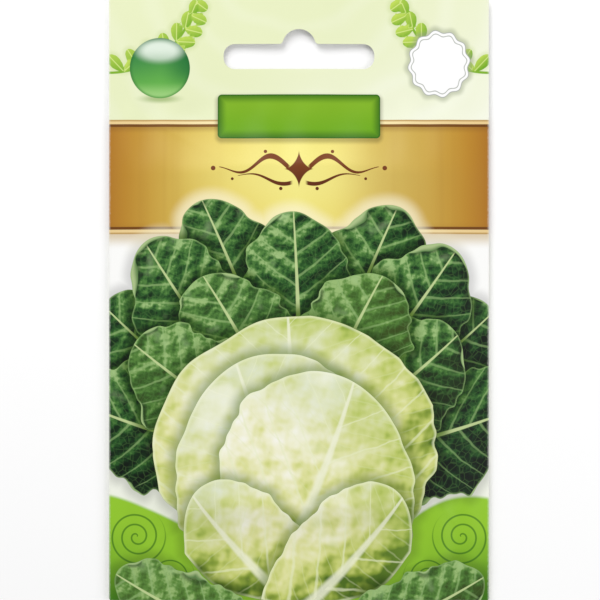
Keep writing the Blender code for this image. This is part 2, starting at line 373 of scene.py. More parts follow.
def divide_front(mesh):
    """Divides the printed front finely, for its relief and for the fields that the print reads."""
    packet = bmesh.new()
    packet.from_mesh(mesh)
    printed = [face for face in packet.faces if face.material_index == FRONT and face.normal.z > 0.5]
    squares = [face for face in printed if len(face.verts) == 4 and face.calc_area() > 3 * MM * MM]
    squares = [face for face in squares if abs(face.calc_center_median().x) < FOLD_CENTRE * MM]
    edges = list({edge for face in squares for edge in face.edges})
    bmesh.ops.subdivide_edges(packet, edges=edges, cuts=FRONT_CUTS, use_grid_fill=True)
    fringe = [face for face in packet.faces if len(face.verts) > 4]
    bmesh.ops.triangulate(packet, faces=fringe, ngon_method="BEAUTY")
    packet.to_mesh(mesh)
    packet.free()


def read_all(items, name, width=1, kind=np.float32):
    """One property of every point, corner or face, as an array."""
    found = np.zeros(len(items) * width, kind)
    items.foreach_get(name, found)
    return found.reshape(-1, width).T if width > 1 else found


def settle_front(mesh):
    """Sets the front panel's two sides to the packet's swell and to what handling has left in it."""
    points = read_all(mesh.vertices, "co", 3, float) / MM
    x, y, z = points
    height = front_height(x, y)
    own = (np.abs(x) < FOLD_CENTRE - 0.01) & (y > FIRST_ROW - 0.01) & (z > height - LAYER / 2)
    side = np.where(z > height, 0.5, -0.5) * PAPER
    points[2] = np.where(own, height + side + relief(x, y), z)
    mesh.vertices.foreach_set("co", (points.T * MM).ravel())
    mesh.update()
    mesh.shade_smooth()
    mesh.set_sharp_from_angle(angle=math.radians(35))


def build_sheet(finishes):
    """The whole packet: one sheet, folded, punched and finely divided for its print."""
    flat = fold_sheet()
    for finish in finishes:
        flat.materials.append(finish)
    whole = thicken_and_punch(flat)
    divide_front(whole)
    settle_front(whole)
    whole.name = "printed_packet"
    return add_piece("printed_packet", whole)


def lay_out_print(mesh):
    """Lays the packet's faces out on a map of their own.

    The printed front fills most of it. Beside it lie the back, the inside and the cut edges."""
    cx, cy, cz = read_all(mesh.polygons, "center", 3) / MM
    nx, ny, nz = np.abs(read_all(mesh.polygons, "normal", 3))
    slot = read_all(mesh.polygons, "material_index", 1, np.int32)
    face = np.repeat(np.arange(len(slot)), read_all(mesh.polygons, "loop_total", 1, np.int32))
    corner = read_all(mesh.loops, "vertex_index", 1, np.int32)
    x, y, z = read_all(mesh.vertices, "co", 3)[:, corner] / MM

    inward = (slot > BACK) & (nz > 0.5)
    edge = (slot > BACK) & (nz <= 0.5)
    layer = cz + np.where(slot > BACK, -PAPER / 2, PAPER / 2) - back_height(cx, cy)
    low = (layer < -LAYER / 2) | (cy < FIRST_ROW)
    right = (cx > SEAM_RIGHT) | ((cx > SEAM_LEFT) & (layer < LAYER / 2))
    behind, lining = slot == BACK, inward & (slot > INSIDE)
    at_slot = edge & (np.abs(cx) < 17) & (np.abs(cy - 52) < 8)
    upright = edge & ~at_slot & (nx > ny)
    level = edge & ~at_slot & ~upright
    across, up, sides = x + WIDTH / 2, y + HEIGHT / 2, x - SEAM_LEFT + 0.5
    fold = up + 4 * (back_height(x, y) + LAYER - z)
    slant = across + 0.7 * (y - SLOT_LOW)
    # Each chart: its faces, its lower left corner, what runs across it and what runs up it. Each of
    # the two has its pixels for a millimetre beside it
    charts = (
        (slot == FRONT, 6, 6, across, 7.78, up, 7.78),
        (behind & ~low & right, 656, 518, sides, 3.85, up, 3.85),
        (behind & ~low & ~right, 846, 518, across, 3.85, up, 3.85),
        (behind & low, 656, 454, across, 3.85, fold, 3.85),
        (inward & ~lining, 656, 160, across, 2, up, 2),
        (lining & ~low & right, 826, 160, sides, 2, up, 2),
        (lining & ~low & ~right, 924, 160, across, 2, up, 2),
        (lining & low, 656, 422, across, 2, fold, 1.8),
        (level & (cy > 0), 656, 6, across, 4.3, z, 9.5),
        (at_slot, 656, 44, slant, 4, z, 9.5),
        (level & (cy <= 0), 656, 82, across, 4.3, z, 9.5),
        (upright, 656, 120, up, 2.7, z, 9.5),
    )
    places = np.zeros((len(face), 2))
    for chosen, left, base, along, along_scale, rise, rise_scale in charts:
        mine = chosen[face]
        places[mine] = np.stack((left + along * along_scale, base + rise * rise_scale), axis=1)[mine]
    chart_map = mesh.uv_layers.new(name=BAKE_MAP)
    chart_map.uv.foreach_set("vector", (places / BAKE_SIZE).astype(np.float32).ravel())


def outline_distance(along, across, outline):
    """Distance from each point to a closed outline."""
    nearest = np.full_like(along, 99.0)
    for (start_u, start_v), (end_u, end_v) in zip(outline, np.roll(outline, -1, axis=0)):
        run_u, run_v = end_u - start_u, end_v - start_v
        share = (along - start_u) * run_u + (across - start_v) * run_v
        share = np.clip(share / max(run_u * run_u + run_v * run_v, 1e-9), 0.0, 1.0)
        gap = np.hypot(along - start_u - share * run_u, across - start_v - share * run_v)
        nearest = np.minimum(nearest, gap)
    return nearest


def leaf_field(x, y, base, angle, length, half_width,
               bend=0.0, tone=0.5, seed=0.0, fullest=0.58, ruffle=0.05):
    """One leaf: place along and across its midrib, depth inside its edge, light, tone, share."""
    turn = math.radians(angle)
    along = (x - base[0]) * math.cos(turn) + (y - base[1]) * math.sin(turn)
    across = (y - base[1]) * math.cos(turn) - (x - base[0]) * math.sin(turn)
    power = math.log(0.5) / math.log(fullest)

    def width(at, side):
        wave = np.sin(at * 29 + seed + side) + 0.6 * np.sin(at * 51 + 2.1 * seed - side)
        wave = wave + 0.7 * np.sin(at * 14 - seed + 2 * side)
        wave = wave + 0.35 * np.sin(at * 97 + 3.3 * seed + side)
        return half_width * np.sin(math.pi * at ** power) ** 0.5 * (1 + ruffle * wave)

    at = 0.5 - 0.5 * np.cos(np.linspace(0, math.pi, OUTLINE_POINTS))
    spine = bend * length * at ** 2
    left = np.stack((at * length, spine + width(at, 1)), axis=1)
    right = np.stack((at * length, spine - width(at, -1)), axis=1)
    outline = np.concatenate((left, right[-2:0:-1]))
    reach = np.abs(outline[:, 1]).max() + LEAF_MARGIN
    near = (along > -LEAF_MARGIN) & (along < length + LEAF_MARGIN) & (np.abs(across) < reach)
    depth = np.full_like(x, FAR_OUTSIDE)
    depth[near] = -outline_distance(along[near], across[near], outline)

    share = np.clip(along / length, 0.0, 1.0)
    across = across - bend * length * share ** 2
    edge = np.where(across > 0, width(share, 1), width(share, -1))
    inside = (along > 0) & (along < length) & (np.abs(across) < edge)
    depth = np.where(inside, -depth, depth)
    place = np.clip(across / np.maximum(edge, 0.4), -1.2, 1.2)
    lean_across = 0.75 * place + 0.35 * np.sin(share * 29 + seed) * np.abs(place) ** 3
    lean_along = 0.9 * (share - 0.45)
    lean_x = lean_along * math.cos(turn) - lean_across * math.sin(turn)
    lean_y = lean_along * math.sin(turn) + lean_across * math.cos(turn)
    light = 0.5 + 0.5 * (-0.45 * lean_x + 0.75 * lean_y)
    return along, across, depth, light, np.full_like(x, tone), share


def leaf_layer(x, y, leaves):
    """The fields of a layer's leaves, each point taking the leaf that it is deepest in."""
    best = np.array(leaf_field(x, y, **leaves[0]))
    for leaf in leaves[1:]:
        found = np.array(leaf_field(x, y, **leaf))
        best = np.where(found[2] > best[2], found, best)
    return best


def fan(common, *specs):
    """Leaves that share some values: (angle, length, half width, bend, tone, seed) of each."""
    names = ("angle", "length", "half_width", "bend", "tone", "seed")
    return [dict(zip(names, spec), **common) for spec in specs]


def picture_layers():
    """The leaves of the picture from back to front. Leaves of one layer don't meet where they show."""
    far = {"base": (0, -34), "ruffle": 0.06}
    young = {"base": (0, -34), "ruffle": 0.065, "fullest": 0.64}
    wrapped = {"ruffle": 0.02}
    foot = {"base": (0, -79), "ruffle": 0.06}
    return {
        "far_left": fan(far, (106, 59, 13, 0.08, 0.25, 4.1), (30, 52, 14, 0.12, 0.15, 1.0)),
        "far_right": fan(far, (72, 58, 13, -0.06, 0.35, 2.3), (149, 53, 14, -0.12, 0.2, 5.2)),
        "near_side": fan(far, (4, 50, 14, 0.16, 0.3, 0.4), (89, 53, 13, 0.04, 0.55, 1.7),
                         (175, 50, 14, -0.16, 0.35, 6.0)),
        "near_up": fan(far, (50, 56, 13, 0.05, 0.45, 3.3), (129, 57, 13, -0.06, 0.4, 2.9)),
        "young_left": fan(young, (112, 44, 12, 0.10, 0.75, 5.0), (32, 43, 12, 0.10, 0.7, 2.0)),
        "young_right": fan(young, (70, 43, 12, -0.08, 0.85, 0.9), (150, 43, 12, -0.08, 0.8, 3.8)),
        "heart": fan(wrapped | {"base": (0, -67)}, (91, 64, 31, 0.02, 0.55, 0.6)),
        "left": fan(wrapped | {"base": (10, -68)}, (119, 59, 23, -0.10, 0.45, 2.2)),
        "right": fan(wrapped | {"base": (-10, -68.5)}, (60, 55, 22.5, 0.12, 0.6, 4.4)),
        "low_left": fan(wrapped | {"base": (10, -74)}, (147, 45, 14, -0.20, 0.3, 1.3)),
        "low_right": fan(wrapped | {"base": (-10, -75)}, (34, 45, 14, 0.20, 0.35, 5.6)),
        "foot": fan(foot, (159, 44, 9, -0.10, 0.9, 3.0), (20, 44, 9, 0.10, 0.85, 0.2)),
    }


def twig_leaves():
    """Small leaves along two arched twigs in the header's upper corners."""
    leaves = []
    for side in (-1, 1):
        for step in range(8):
            turn = math.radians(10 + step * 10.5)
            x = side * (WIDTH / 2 - TWIG_REACH * math.sin(turn))
            y = TWIG_HEIGHT - TWIG_DROP * math.cos(turn)
            for lean in (-1, 1):
                angle = 90 + side * (math.degrees(turn) * 1.05 + lean * 46 - 8)
                leaves.append(dict(
                    base=(x, y), angle=angle, length=4.9 - 0.2 * step, half_width=1.25, ruffle=0.02,
                    tone=0.3 + 0.35 * (lean > 0), seed=step,
                ))
    return leaves


def print_fields(mesh):
    """Stores each layer's fields on the points of the mesh, for the print to read."""
    x, y, _ = read_all(mesh.vertices, "co", 3, float) / MM
    layers = dict(picture_layers(), twig=twig_leaves())
    across, up = (x - HEAD_X) / HEAD_RADIUS, (y - HEAD_Y) / HEAD_RADIUS
    radius = np.hypot(across, up)
    round_light = 0.62 + 0.30 * (-0.5 * across + 0.75 * up) - 0.42 * np.clip(radius, 0, 1.1) ** 4
    turn = np.arctan2(up, across)
    lumps = 0.5 * np.sin(5 * turn + 0.7) + 0.35 * np.sin(11 * turn)
    ball = HEAD_RADIUS * (1 - radius) + lumps
    for name, leaves in layers.items():
        along, across_leaf, depth, light, tone, share = leaf_layer(x, y, leaves)
        if name in HEAD_LAYERS:
            depth = np.minimum(depth, ball)
            light = round_light + 0.35 * (light - 0.5)
        for kind, values in (("place", (along, across_leaf, depth)), ("look", (light, tone, share))):
            field = mesh.attributes.new(f"{name}_{kind}", "FLOAT_VECTOR", "POINT")
            field.data.foreach_set("vector", np.stack(values, axis=1).astype(np.float32).ravel())


def paint(red, green, blue):
    """A colour as a printer's screen shows it, made linear."""
    def linear(value):
        value /= 255
        return value / 12.92 if value <= 0.04045 else ((value + 0.055) / 1.055) ** 2.4
    return (linear(red), linear(green), linear(blue), 1.0)


class Signal:
    """A value that varies over a surface. Python arithmetic on it adds Math nodes."""

    def __init__(self, finish, socket):
        self.finish = finish
        self.socket = socket

    def math(self, operation, *others):
        return self.finish.node("Math", {"operation": operation}, dict(enumerate((self, *others))))

    __add__ = partialmethod(math, "ADD")
    __radd__ = partialmethod(math, "ADD")
    __sub__ = partialmethod(math, "SUBTRACT")
    __mul__ = partialmethod(math, "MULTIPLY")
    __rmul__ = partialmethod(math, "MULTIPLY")
    __truediv__ = partialmethod(math, "DIVIDE")
    __pow__ = partialmethod(math, "POWER")
    __abs__ = partialmethod(math, "ABSOLUTE")
    sine = partialmethod(math, "SINE")
    floor = partialmethod(math, "FLOOR")
    least = partialmethod(math, "MINIMUM")
    most = partialmethod(math, "MAXIMUM")
    # What is left after the whole number
    part = partialmethod(math, "FRACT")
    # The angle of the place that lies this far up and that far to the right
    angle = partialmethod(math, "ARCTAN2")

    def __rsub__(self, other):
        return self.finish.node("Math", {"operation": "SUBTRACT"}, {0: other, 1: self})

    def step(self, low, high):
        """0 at low, 1 at high, smooth between. low above high turns it round."""
        settings = {"interpolation_type": "SMOOTHSTEP"}
        return self.finish.node("MapRange", settings, {"Value": self, "From Min": low, "From Max": high})

    def coat(self, red, green, blue, share):
        """This colour with another printed over it, as much as share says."""
        return self.finish.blend(self, paint(red, green, blue), share)

    def split(self):
        """A vector's three numbers."""
        parts = self.finish.tree.nodes.new("ShaderNodeSeparateXYZ")
        self.finish.tree.links.new(self.socket, parts.inputs[0])
        return [Signal(self.finish, socket) for socket in parts.outputs]


class Finish:
    """A material under construction."""

    def __init__(self, name, **values):
        self.material = bpy.data.materials.new(name)
        self.material.use_nodes = True
        self.tree = self.material.node_tree
        self.shader = self.tree.nodes["Principled BSDF"]
        for word, value in values.items():
            socket = word.replace("_", " ").title().replace("Ior", "IOR")
            self.shader.inputs[socket].default_value = value

    def node(self, kind, settings=None, sockets=None, output=0):
        """Adds a node: its settings first, then its sockets' values or links."""
        made = self.tree.nodes.new("ShaderNode" + kind)
        for name, value in (settings or {}).items():
            setattr(made, name, value)
        for name, value in (sockets or {}).items():
            self.feed(made.inputs[name], value)
        return Signal(self, made.outputs[output])

    def feed(self, socket, value):
        if isinstance(value, Signal):
            self.tree.links.new(value.socket, socket)
        else:
            socket.default_value = value

    def place(self):
        """The packet's own coordinates in millimetres, as one vector."""
        metres = self.node("TexCoord", output=3)
        return self.node("VectorMath", {"operation": "SCALE"}, {0: metres, "Scale": 1 / MM})

    def field(self, name):
        """A vector that is stored on the points of the mesh."""
        return self.node("Attribute", {"attribute_name": name}, output=1)

    def joined(self, x, y, z=0.0):
        return self.node("CombineXYZ", None, {0: x, 1: y, 2: z})

    def blend(self, low, high, factor):
        """From one colour to another."""
        return self.node("Mix", {"data_type": "RGBA"}, {0: factor, 6: low, 7: high}, output=2)

    def swap(self, low, high, factor):
        """From one vector to another."""
        return self.node("Mix", {"data_type": "VECTOR"}, {0: factor, 4: low, 5: high}, output=1)

    def tint(self, colour, amount):
        """A colour times a number."""
        return self.node("VectorMath", {"operation": "SCALE"}, {0: colour, "Scale": amount})

    def ramp(self, value, *stops):
        """A colour for each value, from stops: a value, then the printer's red, green and blue."""
        found = self.node("ValToRGB", None, {0: value})
        elements = found.socket.node.color_ramp.elements
        while len(elements) < len(stops):
            elements.new(0.5)
        for element, (at, *colour) in zip(elements, stops):
            element.position = at
            element.color = paint(*colour)
        return found

    def noise(self, place, scale, detail=3.0, roughness=0.55):
        sockets = {"Vector": place, "Scale": scale, "Detail": detail, "Roughness": roughness}
        return self.node("TexNoise", None, sockets)

    def lumps(self, x, y, layer, reach, scale, detail):
        """Light and shade on a lumpy surface that is lit from the upper left."""
        here = self.noise(self.joined(x, y, layer), scale, detail)
        return here - self.noise(self.joined(x - 0.55 * reach, y + 0.85 * reach, layer), scale, detail)

    def cells(self, place, scale):
        """Distance to the nearest cell wall, for fine vein nets."""
        settings = {"feature": "DISTANCE_TO_EDGE"}
        return self.node("TexVoronoi", settings, {"Vector": place, "Scale": scale})

    def done(self, colour, roughness, height, strength, depth):
        """The finished material. The last three make its bump, whose depth is in metres."""
        bump = self.node("Bump", None, {"Height": height, "Strength": strength, "Distance": depth})
        for socket, value in (("Base Color", colour), ("Roughness", roughness), ("Normal", bump)):
            self.feed(self.shader.inputs[socket], value)
        return self.material


def rule(y, low, height):
    """A straight strip across the packet."""
    return y.step(low - 0.05, low + 0.05) * y.step(low + height + 0.05, low + height - 0.05)


def distance(right, rise):
    """How far a place is, from how far it lies to the right and up."""
    return (right * right + rise * rise) ** 0.5


def header_print(finish, x, y, place):
    """The pale header: a soft wash that lightens towards its lower right, with faint arcs."""
    wash = finish.noise(place, 0.035, 2.0)
    fade = ((x * 0.012 - y * 0.020 + 1.15) + (wash - 0.5) * 0.5).step(-0.1, 1.1)
    colour = finish.blend(paint(232, 239, 195), paint(248, 250, 233), fade)
    swirl = abs(distance(x, y - 78) * 0.11 + (wash - 0.5) * 2.0)
    glow = abs(swirl.part() - 0.5).step(0.16, 0.5)
    return colour.coat(252, 254, 244, glow * (0.12 + fade * 0.16))


def twig_print(finish, colour, x, y):
    """Two arched twigs with small leaves."""
    ring = distance((abs(x) - WIDTH / 2) / TWIG_REACH, (y - TWIG_HEIGHT) / TWIG_DROP)
    stem = abs(ring - 1).step(0.019, 0.011)
    _, across, depth = finish.field("twig_place").split()
    light, tone, _ = finish.field("twig_look").split()
    value = (light * 0.9 + tone * 0.4).step(0.2, 1.1)
    leaf = finish.blend(paint(112, 170, 30), paint(196, 222, 92), value)
    rib = abs(across).step(0.16, 0.05)
    leaf = leaf.coat(226, 240, 150, rib * 0.7)
    colour = colour.coat(196, 214, 140, (depth * -1).step(1.2, 0.0) * 0.35)
    colour = colour.coat(128, 178, 44, stem)
    return finish.blend(colour, leaf, depth.step(-0.04, 0.06))


def plate_print(finish, colour, x, y):
    """The plain plate under the slot, with round corners, a dark rim and a soft shadow."""
    past_side = (abs(x) - (PLATE_REACH - PLATE_CORNER)).most(0.0)
    rise = y - PLATE_Y
    corner, shadow = [
        distance(past_side, (abs(rise + drop) - (PLATE_RISE - PLATE_CORNER)).most(0.0))
        for drop in (0.0, PLATE_SHADOW_DROP)
    ]
    colour = colour.coat(70, 60, 20, shadow.step(2.0, 0.7) * 0.45)
    face = finish.blend(paint(108, 169, 18), paint(131, 182, 36), (y - 0.05 * abs(x)).step(34.5, 43.0))
    inset = (PLATE_REACH - abs(x)).least(PLATE_RISE - abs(rise))
    face = face.coat(58, 114, 14, inset.step(2.2, 0.1) * 0.85)
    face = face.coat(44, 104, 14, corner.step(0.50, 0.80))
    return finish.blend(colour, face, corner.step(PLATE_CORNER + 0.05, PLATE_CORNER - 0.02))


def disc_print(finish, colour, x, y):
    """The plain glossy disc, with its highlight, the glow in its foot and its shadow."""
    right, rise = x - DISC_X, y - DISC_Y
    out = distance(right, rise)
    under = (right * right / 30 + (rise + 6.6) * (rise + 6.6) / 1.4) ** 0.5
    colour = colour.coat(120, 160, 60, under.step(1.1, 0.2) * 0.6)
    value = (rise * -1 - abs(right) * 0.2).step(-6.0, 6.5)
    ball = finish.blend(paint(46, 128, 66), paint(106, 184, 76), value)
    ball = ball.coat(14, 108, 48, right.step(0.0, 6.4) * rise.step(-5.5, 0.0) * 0.7)
    ball = ball.coat(24, 98, 44, out.step(5.6, 6.6) * 0.55)
    shine = (right * right / 30 + (rise - 3.6) * (rise - 3.6) / 8.0) ** 0.5
    ball = ball.coat(234, 246, 232, shine.step(1.15, 0.5) * rise.step(-1.6, 4.5) * 0.92)
    ball = ball.coat(172, 218, 140, rise.step(-2.8, -6.2) * out.step(6.6, 5.8) * 0.7)
    return finish.blend(colour, ball, out.step(DISC_RADIUS + 0.05, DISC_RADIUS - 0.08))


def rosette_print(finish, colour, x, y):
    """The blank white rosette, with its scalloped rim and a fine line inside it."""
    right, rise = x - ROSETTE_X, y - ROSETTE_Y
    scallops = (rise.angle(right) * ROSETTE_SCALLOPS).sine() * 0.28
    edge = (right * right + rise * rise * 0.86) ** 0.5 - scallops
    colour = colour.coat(150, 160, 130, (edge - 0.35).step(7.6, 6.3) * 0.5)
    ring = abs(edge - 5.75).step(0.16, 0.06) * 0.9
    face = finish.blend(paint(255, 255, 255), paint(176, 180, 172), ring)
    face = face.coat(140, 146, 138, edge.step(6.3, 6.45) * 0.8)
    return finish.blend(colour, face, edge.step(ROSETTE_RADIUS + 0.05, ROSETTE_RADIUS - 0.05))


def gold_print(finish, x, y):
    """The band's gold: pale in the middle and brown at the sides, with a few soft streaks."""
    side = abs(x + 0.5)
    gold = finish.ramp(
        side / (WIDTH / 2),
        (0.0, 243, 232, 130), (0.34, 232, 212, 108), (0.55, 218, 190, 88),
        (0.79, 198, 154, 58), (0.9, 188, 136, 44), (1.0, 176, 118, 36),
    )
    sheen = (abs(y - 27.5) - x * 0.03).step(11.0, 1.0)
    gold = gold.coat(250, 242, 150, sheen * side.step(30.0, 2.0) * 0.4)
    gold = gold.coat(160, 108, 36, (abs(y - 26.5) / 11).step(0.86, 1.05) * 0.3)
    streak = (finish.noise(finish.joined(x * 0.8, y * 0.01), 0.35, 3.0) - 0.5).most(0.0)
    gold = gold.coat(168, 116, 40, streak * side.step(8.0, 34.0) * 0.9)
    gold = gold.coat(190, 150, 76, x.step(6.0, 19.0) * x.step(36.0, 22.0) * 0.4)
    return gold.coat(128, 84, 34, y.step(BAND_TOP - 1.7, BAND_TOP - 0.3) * 0.28)


def flourish_print(finish, gold, x, y):
    """A plain flourish on the band: two waved strokes to each side, a star and a few dots."""
    bar = abs(x)
    wave = 28.6 + (bar * 0.42 - 1.0).sine() * 2.3 * (bar / 18).step(1.15, 0.35)
    thick = 0.62 * (bar / 17).step(1.05, 0.2) + 0.10
    upper = (abs(y - wave) / thick).step(1.0, 0.8) * bar.step(17.3, 16.9) * bar.step(1.6, 2.4)
    wave = 26.4 - (bar * 0.36 + 0.4).sine() * 1.5 * (bar / 15).step(1.1, 0.3)
    thin = 0.42 * (bar / 13).step(1.05, 0.2) + 0.07
    lower = (abs(y - wave) / thin).step(1.0, 0.75) * bar.step(13.3, 12.9) * bar.step(1.2, 2.0)
    star = (bar / 3.4) ** 0.62 + (abs(y - 28.1) / 4.3) ** 0.62
    flourish = upper.most(lower).most(star.step(1.0, 0.93))
    for at, height, size in ((18.4, 28.3, 0.55), (14.3, 26.0, 0.36), (7.2, 31.9, 0.42), (3.9, 23.9, 0.42)):
        flourish = flourish.most(distance(bar - at, y - height).step(size, size - 0.1))
    stroke = finish.blend(paint(96, 42, 14), paint(126, 66, 26), y.step(24.0, 31.0))
    return finish.blend(gold, stroke, flourish)


def band_print(finish, colour, x, y):
    """The gold band with its flourish, its dark and cream rules, and a soft shadow below it."""
    side = abs(x + 0.5)
    gold = flourish_print(finish, gold_print(finish, x, y), x, y)
    inside = y.step(BAND_BOTTOM - 0.06, BAND_BOTTOM + 0.06) * y.step(BAND_TOP + 0.06, BAND_TOP - 0.06)
    shadow = (y - BAND_BOTTOM + 1.4).step(-3.4, 0.0) * y.step(20.0, 16.0)
    colour = colour.coat(206, 180, 126, shadow * 0.7)
    cream = rule(y, BAND_TOP, 1.35).most(rule(y, BAND_BOTTOM - 1.35, 1.35))
    lit = finish.blend(paint(236, 206, 146), paint(252, 238, 184), side.step(WIDTH / 2, 8.0))
    colour = finish.blend(colour, lit, cream)
    tan = rule(y, BAND_TOP + 1.05, 0.36).most(rule(y, BAND_BOTTOM - 1.43, 0.36))
    colour = colour.coat(184, 142, 74, tan * 0.8)
    colour = finish.blend(colour, gold, inside)
    dark = rule(y, BAND_TOP - 0.15, 0.6).most(rule(y, BAND_BOTTOM - 0.45, 0.6))
    rim = finish.blend(paint(112, 66, 18), paint(140, 98, 34), side.step(WIDTH / 2, 6.0))
    return finish.blend(colour, rim, dark)


def meadow_print(finish, x, y, place):
    """White ground, with a green bank and tonal spirals in its lower corners."""
    side = abs(x)
    inward = side - WIDTH / 2
    wash = finish.noise(place, 0.11, 2.0)
    low = (y + 30 + wash * 10).step(14.0, -24.0)
    colour = finish.blend(paint(255, 255, 253), paint(240, 246, 222), low)
    bank = y + 42.5 + inward * inward * 0.02 + (x * 0.16).sine() * 1.2
    green = finish.blend(paint(150, 204, 48), paint(62, 128, 22), (bank + wash * 8).step(0.0, -22.0))
    for centre, height, pitch in ((35.0, -51.0, 2.1), (27.5, -60.0, 1.7)):
        right, rise = side - centre, y - height
        out = distance(right, rise)
        line = abs((out / pitch + rise.angle(right) / math.tau).part() - 0.5).step(0.13, 0.05)
        green = green.coat(38, 104, 18, line * out.step(pitch * 3.1, pitch * 2.9) * 0.7)
    return finish.blend(colour, green, bank.step(0.6, -0.4))


def leaf_print(finish, x, y, spot, look, grain):
    """Dark outer leaves: pale ribs and veins, puffed fields between them, a fine net and gloss."""
    along, across, depth = spot
    light, tone, share = look
    away = abs(across)
    side = across.step(-0.01, 0.01)
    stray = (grain - 0.5) * 1.1
    field = ((along - away * 0.62 - away * away * 0.018 + side * 2.1 + stray) / 4.6).part()
    vein_width = 0.30 * (1.15 - away / 16) + 0.05
    vein = (abs(field - 0.5) * 4.0 / vein_width).step(1.0, 0.35)
    rib_width = 0.95 * (1 - share) + 0.16
    rib = (away / rib_width).step(1.0, 0.55)
    coordinates = finish.joined(along, across)
    net = finish.cells(coordinates, 0.62).step(0.075, 0.01)
    puff = (field * math.tau - 0.9).sine()
    mottle = finish.noise(coordinates, 0.12, 3.0, 0.6)
    value = light * 1.1 - 0.08 + puff * 0.14 + (mottle - 0.5) * 0.45 + (tone - 0.5) * 0.3
    value = value + finish.lumps(x, y, tone * 40, 0.6, 0.24, 4.0) * 2.6
    colour = finish.ramp(
        value,
        (0.0, 5, 20, 8), (0.28, 14, 46, 18), (0.55, 40, 88, 36), (0.78, 84, 134, 62), (1.0, 158, 192, 124),
    )
    colour = colour.coat(132, 168, 60, tone.step(0.6, 1.2) * 0.44)
    colour = colour.coat(96, 142, 72, net * 0.22)
    colour = colour.coat(150, 186, 118, vein * (0.25 + light * 0.5))
    colour = colour.coat(198, 216, 152, rib * 0.92)
    shine = (finish.noise(coordinates, 0.16, 2.0) + light * 0.35).step(0.80, 0.98)
    colour = colour.coat(184, 214, 156, shine * 0.30)
    # The rim is rolled over here and there, and shows its paler underside
    curl = (finish.noise(coordinates, 0.10, 1.0) - 0.52) * 11 - 0.2
    under = depth.step(curl, curl - 0.12)
    roll = (depth / curl.most(0.3)).step(1.0, 0.2)
    fold = finish.blend(paint(88, 128, 70), paint(176, 198, 140), roll)
    shadow = (depth - curl).step(1.1, 0.0) * curl.step(0.1, 0.4)
    colour = colour.coat(8, 26, 12, shadow * 0.6)
    colour = finish.blend(colour, fold, under)
    return colour.coat(150, 186, 116, depth.step(0.45, 0.1) * 0.5)


def head_print(finish, x, y, spot, look, grain):
    """The pale head: waxy leaves with white ribs fanning from the base."""
    along, across, depth = spot
    light, tone, share = look
    away = abs(across)
    side = across.step(-0.01, 0.01)
    stray = (grain - 0.5) * 1.6
    field = ((along - away * 0.95 + side * 3.4 + stray) / 8.2).part()
    vein = (abs(field - 0.5) * 8.0 / (0.85 * (1.2 - share))).step(1.0, 0.2)
    branch = ((along - away * 0.3 - side * 1.4 + stray) / 3.3).part()
    twig = (abs(branch - 0.5) * 2.6).step(0.22, 0.02)
    rib = (away / (2.3 * (1 - share) + 0.35)).step(1.0, 0.3)
    coordinates = finish.joined(along, across)
    mottle = finish.noise(coordinates, 0.10, 3.0, 0.55)
    strand = finish.noise(finish.joined(along * 0.25, across), 0.30, 3.0)
    puff = (field * math.tau - 0.9).sine()
    value = light + puff * 0.07 + (mottle - 0.5) * 0.6 + (strand - 0.5) * 0.22
    value = (value + finish.lumps(x, y, tone * 40, 1.2, 0.105, 3.0) * 1.9) * 0.92 + 0.07
    colour = finish.ramp(
        value,
        (0.0, 78, 110, 28), (0.18, 142, 164, 60), (0.36, 200, 210, 114),
        (0.56, 227, 229, 160), (0.76, 244, 243, 208), (1.0, 253, 252, 240),
    )
    colour = colour.coat(150, 186, 70, share.step(0.62, 1.0) * 0.35)
    colour = colour.coat(236, 241, 200, vein * 0.55)
    colour = colour.coat(226, 234, 180, twig * 0.25)
    colour = colour.coat(244, 246, 220, rib * 0.75)
    colour = colour.coat(238, 244, 204, depth.step(0.8, 0.15) * 0.6)
    wax = finish.noise(finish.joined(x, y, tone * 25), 0.075, 2.0) + light * 0.3
    colour = colour.coat(252, 253, 236, wax.step(0.74, 0.92) * 0.55)
    freckle = finish.noise(coordinates, 0.5, 3.0, 0.7).step(0.66, 0.78)
    return colour.coat(206, 186, 134, freckle * 0.18)


def picture_print(finish, colour, x, y, grain):
    """The picture of leaves, layer on layer, each with a shadow on what lies under it."""
    spot = finish.joined(0.0, 0.0, 0.0)
    look = finish.joined(0.5, 0.5, 0.5)
    shade, reach, head = 1.0, 10 * FAR_OUTSIDE, 0.0
    for name in picture_layers():
        here = finish.field(name + "_place")
        depth = here.split()[2]
        inside = depth.step(-0.05, 0.07)
        fall = 1 - (depth * -1).step(3.2, -0.4) * (0.72 if name in HEAD_LAYERS else 0.95)
        shade = (fall * shade).most(inside)
        reach = depth.most(reach)
        head = (1 - inside) * head
        if name in HEAD_LAYERS:
            head = head.most(inside)
        spot = finish.swap(spot, here, inside)
        look = finish.swap(look, finish.field(name + "_look"), inside)
    spot, look = spot.split(), look.split()
    leaves = leaf_print(finish, x, y, spot, look, grain)
    leaves = finish.blend(leaves, head_print(finish, x, y, spot, look, grain), head)
    deep = finish.node("VectorMath", {"operation": "MULTIPLY"}, {0: leaves, 1: (0.20, 0.30, 0.08)})
    leaves = finish.blend(deep, leaves, shade)

    # Round the leaves, a pale halo on the band and a soft shadow on the white ground
    halo = (reach * -1).step(3.4, 0.1) * y.step(8.0, 17.0)
    colour = colour.coat(255, 248, 214, halo * 0.62)
    soft = (reach * -1).step(3.0, 0.0) * y.step(17.0, 8.0)
    colour = finish.tint(colour, 1 - soft * 0.30)
    return finish.blend(colour, leaves, reach.step(-0.05, 0.07))


def frayed(reach, worn, low, high):
    """How worn an edge is, with a ragged limit."""
    return (reach + (worn - 0.5) * 0.5).step(low, high)


